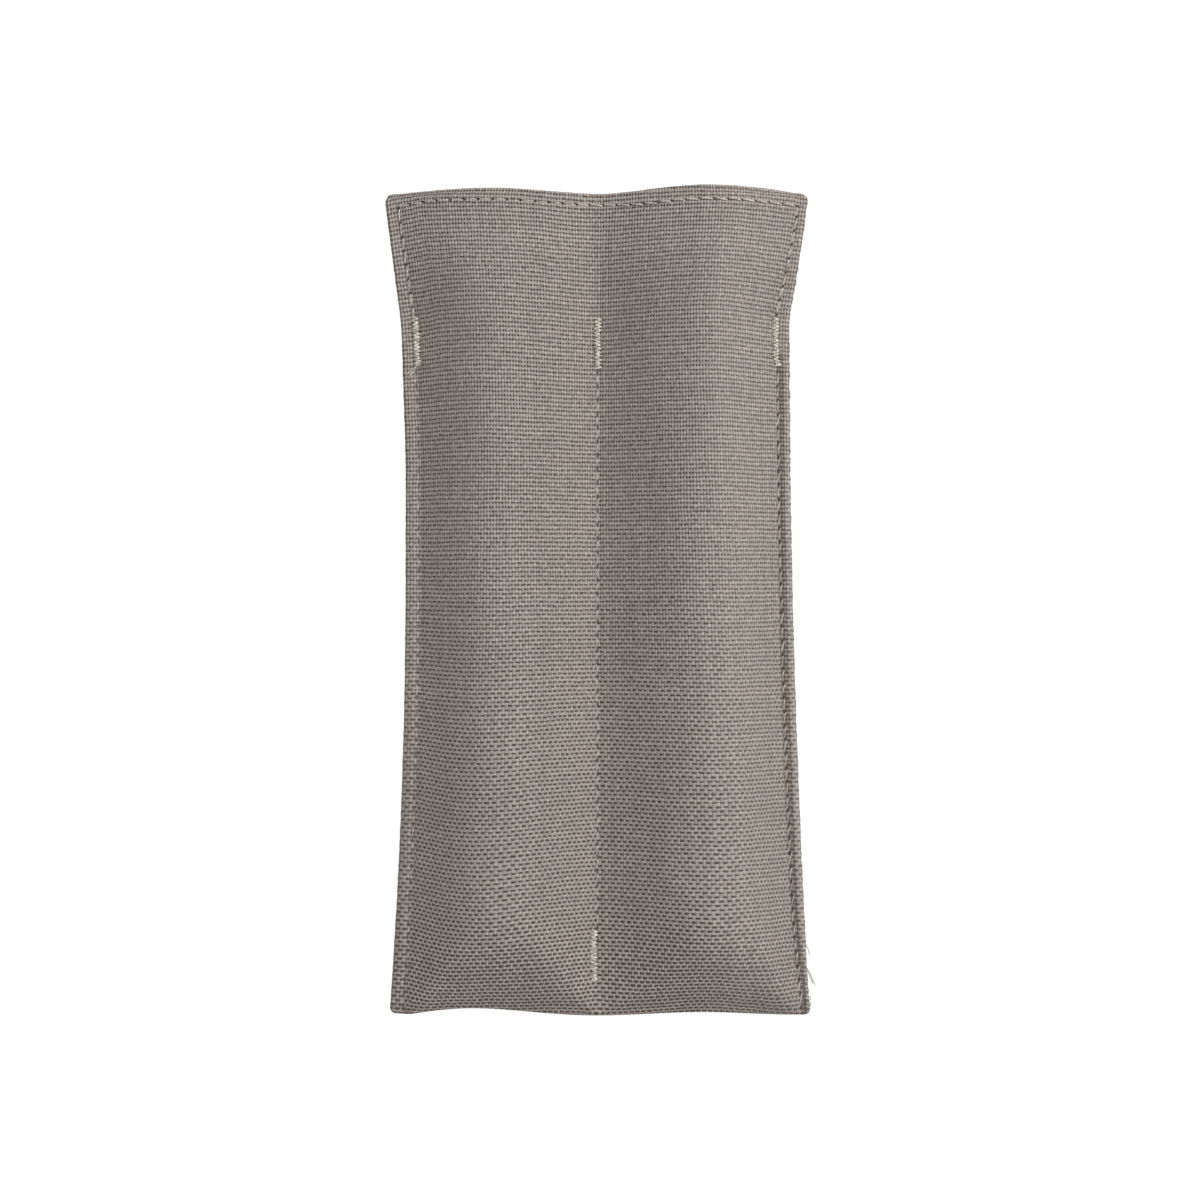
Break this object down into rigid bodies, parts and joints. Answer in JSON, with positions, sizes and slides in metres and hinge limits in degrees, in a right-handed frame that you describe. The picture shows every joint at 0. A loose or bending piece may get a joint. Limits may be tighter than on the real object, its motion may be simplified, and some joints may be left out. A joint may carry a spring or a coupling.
{
  "type": "double pen case",
  "caption": "Flat sewn sleeve of coarse woven cloth with two puffed pen channels side by side, a folded foot and two free lips at its mouth.",
  "frame": {"origin": "centre of the bounding box in X and Y, on the surface that the case's back lies on", "axes": "+Y from the bottom fold to the mouth, +Z out of the front, X across the two channels"},
  "size_m": [0.0878, 0.1714, 0.0148],
  "materials": {
    "cloth": "coarse plain-woven taupe nylon, matt",
    "seam_thread": "twisted polyester sewing thread, taupe",
    "bartack_thread": "twisted polyester sewing thread, cream"
  },
  "bodies": {
    "pouch": {"front_panel": "cloth", "back_panel": "cloth", "left_seam_needle_thread": "seam_thread", "left_seam_bobbin_thread": "seam_thread", "right_seam_needle_thread": "seam_thread", "right_seam_bobbin_thread": "seam_thread", "divider_seam_needle_thread": "seam_thread", "divider_seam_bobbin_thread": "seam_thread", "left_bartack_needle_thread": "bartack_thread", "left_bartack_bobbin_thread": "bartack_thread", "right_bartack_needle_thread": "bartack_thread", "right_bartack_bobbin_thread": "bartack_thread", "divider_mouth_bartack_needle_thread": "bartack_thread", "divider_mouth_bartack_bobbin_thread": "bartack_thread", "divider_foot_bartack_needle_thread": "bartack_thread", "divider_foot_bartack_bobbin_thread": "bartack_thread"},
    "front_lip": {"front_lip": "cloth", "front_hem_needle_thread": "seam_thread", "front_hem_bobbin_thread": "seam_thread"},
    "back_lip": {"back_lip": "cloth", "back_hem_needle_thread": "seam_thread", "back_hem_bobbin_thread": "seam_thread"}
  },
  "joints": [
    {"name": "front_lip_hinge", "type": "hinge", "parent": "pouch", "child": "front_lip", "pos_m": [0, 0.059, 0.015], "axis": [1, 0, 0], "range_deg": [0, 35], "stiffness_Nm_per_rad": 0.01},
    {"name": "back_lip_hinge", "type": "hinge", "parent": "pouch", "child": "back_lip", "pos_m": [0, 0.059, -0.0002], "axis": [-1, 0, 0], "range_deg": [0, 35], "stiffness_Nm_per_rad": 0.01}
  ]
}
